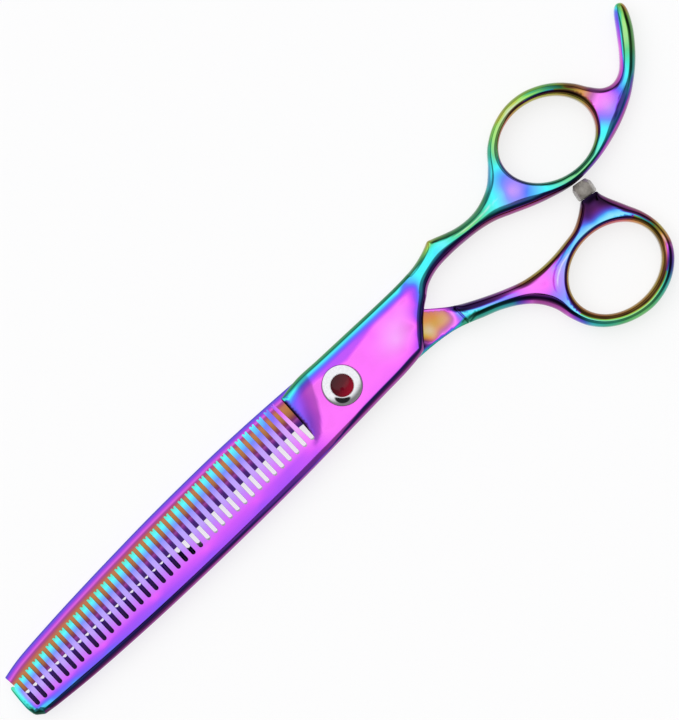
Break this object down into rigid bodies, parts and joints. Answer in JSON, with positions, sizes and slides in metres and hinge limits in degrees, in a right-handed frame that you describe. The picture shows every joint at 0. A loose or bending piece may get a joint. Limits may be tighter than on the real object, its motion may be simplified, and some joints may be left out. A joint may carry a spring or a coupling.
{
  "type": "thinning shears",
  "caption": "Hairdressing thinning shears with one toothed blade, one straight blade, a finger ring with a tang, a thumb ring with a bumper, and a jewelled pivot screw.",
  "frame": {"origin": "on the pivot axis, at the end face of the pivot screw's stud, in the plane that the closed shears lie on", "axes": "+X from the pivot to the handles, +Y towards the finger ring's side, +Z towards the toothed half's outer face and the jewel"},
  "size_m": [0.1962, 0.0529, 0.0077],
  "materials": {
    "rainbow_steel": "polished stainless steel with a rainbow interference coating, running from cyan through violet and magenta to gold",
    "polished_screw": "mirror chrome",
    "red_jewel": "faceted dark red jewel",
    "dark_nylon": "smooth dark nylon",
    "white_nylon": "smooth natural nylon",
    "spring_steel": "rolled spring steel",
    "nut_steel": "turned steel with a satin face",
    "bumper_rubber": "smooth smoky grey translucent elastomer"
  },
  "bodies": {
    "comb_half": {"comb_half": "rainbow_steel", "pivot_post": "polished_screw", "pivot_gem": "red_jewel", "head_washer": "dark_nylon", "wave_spring": "spring_steel"},
    "thumb_half": {"thumb_half": "rainbow_steel", "pivot_bushing": "white_nylon", "thrust_washer": "white_nylon", "bumper": "bumper_rubber"},
    "tension_nut": {"tension_nut": "nut_steel"}
  },
  "joints": [
    {"name": "thumb_pivot", "type": "hinge", "parent": "comb_half", "child": "thumb_half", "pos_m": [0, 0, 0.0023], "axis": [0, 0, -1], "range_deg": [0, 137]},
    {"name": "tension_nut_turn", "type": "hinge", "parent": "comb_half", "child": "tension_nut", "pos_m": [0, 0, 0.0005], "axis": [0, 0, -1], "range_deg": [-90, 90]}
  ]
}
